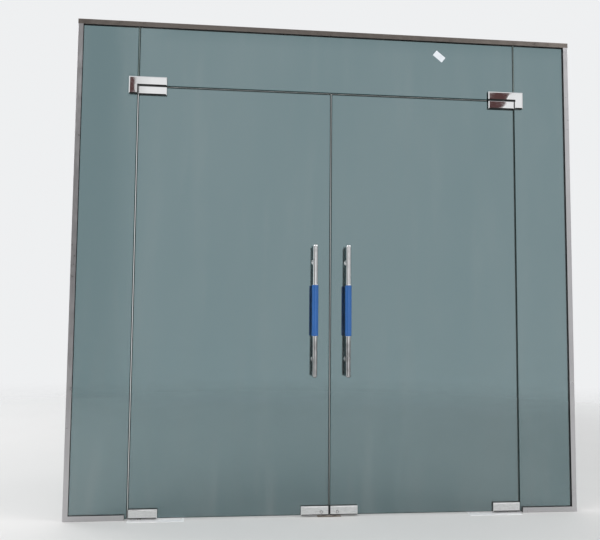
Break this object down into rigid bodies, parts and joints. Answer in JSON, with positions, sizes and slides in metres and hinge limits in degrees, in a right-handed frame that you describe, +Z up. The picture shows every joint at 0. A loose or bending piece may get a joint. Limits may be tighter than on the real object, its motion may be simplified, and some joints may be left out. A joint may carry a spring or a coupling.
{
  "type": "glass entrance door",
  "caption": "Frameless glass entrance with two swing leaves on floor springs, fixed side panes and a fixed pane above, in slim channels.",
  "frame": {"origin": "middle of the doorway at finished floor level, in the middle of the glass, between the strike plate's screws", "axes": "+X to the right seen from outside, +Y to the inner side, +Z up"},
  "size_m": [3.02, 0.17, 2.95],
  "materials": {
    "clear_glass": "clear tempered glass, faint green",
    "polished_stainless": "mirror polished",
    "satin_stainless": "satin",
    "cast_aluminium": "as cast",
    "plated_steel": "zinc plated",
    "zinc_sheet": "galvanised",
    "cast_iron": "painted casting",
    "black_rubber": "matt",
    "clear_nylon": "translucent",
    "white_nylon": "matt",
    "clear_sealant": "translucent",
    "blue_plastic": "glossy",
    "brass": "dull, walked on",
    "satin_nickel": "satin nickel plated",
    "white_paper": "blank, satin"
  },
  "bodies": {
    "frame": {"head_channel": "satin_stainless", "glazing_seals": "black_rubber", "setting_blocks": "black_rubber", "over_glass": "clear_glass", "over_joint_seals": "clear_sealant", "blank_label": "white_paper", "corner_patch_gaskets": "clear_nylon", "corner_clamp_screws": "plated_steel", "top_pivot_pins": "plated_steel", "floor_spring_boxes": "zinc_sheet", "floor_spring_castings": "cast_iron", "floor_spring_plates": "satin_stainless", "floor_plate_screws": "plated_steel", "strike_plate": "brass", "left_jamb_channel": "satin_stainless", "left_floor_channel": "satin_stainless", "left_side_glass": "clear_glass", "left_corner_patch_body": "cast_aluminium", "left_corner_patch_covers": "polished_stainless", "right_jamb_channel": "satin_stainless", "right_floor_channel": "satin_stainless", "right_side_glass": "clear_glass", "right_corner_patch_body": "cast_aluminium", "right_corner_patch_covers": "polished_stainless"},
    "left_leaf": {"left_leaf_glass": "clear_glass", "left_top_patch_body": "cast_aluminium", "left_bottom_patch_body": "cast_aluminium", "left_lock_case": "cast_aluminium", "left_top_patch_covers": "polished_stainless", "left_bottom_patch_covers": "polished_stainless", "left_lock_covers": "polished_stainless", "left_leaf_liners": "clear_nylon", "left_leaf_clamp_screws": "plated_steel", "left_pivot_bush": "white_nylon", "left_spindle": "plated_steel", "left_outer_handle_bar": "polished_stainless", "left_inner_handle_bar": "polished_stainless", "left_handle_grips": "blue_plastic", "left_handle_posts": "polished_stainless", "left_handle_studs": "plated_steel"},
    "right_leaf": {"right_leaf_glass": "clear_glass", "right_top_patch_body": "cast_aluminium", "right_bottom_patch_body": "cast_aluminium", "right_lock_case": "cast_aluminium", "right_top_patch_covers": "polished_stainless", "right_bottom_patch_covers": "polished_stainless", "right_lock_covers": "polished_stainless", "right_leaf_liners": "clear_nylon", "right_leaf_clamp_screws": "plated_steel", "right_pivot_bush": "white_nylon", "right_spindle": "plated_steel", "right_outer_handle_bar": "polished_stainless", "right_inner_handle_bar": "polished_stainless", "right_handle_grips": "blue_plastic", "right_handle_posts": "polished_stainless", "right_handle_studs": "plated_steel"},
    "left_bolt": {"left_lock_bolt": "satin_stainless"},
    "left_key": {"left_key_plug": "satin_nickel"},
    "right_bolt": {"right_lock_bolt": "satin_stainless"},
    "right_key": {"right_key_plug": "satin_nickel"}
  },
  "joints": [
    {"name": "left_leaf_swing", "type": "hinge", "parent": "frame", "child": "left_leaf", "pos_m": [-1.087, 0, 0], "axis": [0, 0, 1], "range_deg": [-90, 90], "stiffness_Nm_per_rad": 20},
    {"name": "left_key_turn", "type": "hinge", "parent": "left_leaf", "child": "left_key", "pos_m": [-0.04658, 0, 0.028], "axis": [0, 1, 0], "range_deg": [0, 180]},
    {"name": "left_bolt_slide", "type": "slide", "parent": "left_leaf", "child": "left_bolt", "axis": [0, 0, -1], "range_m": [0, 0.018]},
    {"name": "right_leaf_swing", "type": "hinge", "parent": "frame", "child": "right_leaf", "pos_m": [1.087, 0, 0], "axis": [0, 0, 1], "range_deg": [-90, 90], "stiffness_Nm_per_rad": 20},
    {"name": "right_key_turn", "type": "hinge", "parent": "right_leaf", "child": "right_key", "pos_m": [0.04658, 0, 0.028], "axis": [0, -1, 0], "range_deg": [0, 180]},
    {"name": "right_bolt_slide", "type": "slide", "parent": "right_leaf", "child": "right_bolt", "axis": [0, 0, -1], "range_m": [0, 0.018]}
  ],
  "couplings": [
    {"joint": "left_key_turn", "follows": "left_bolt_slide", "rad_per_m": 174.53},
    {"joint": "right_key_turn", "follows": "right_bolt_slide", "rad_per_m": 174.53}
  ]
}
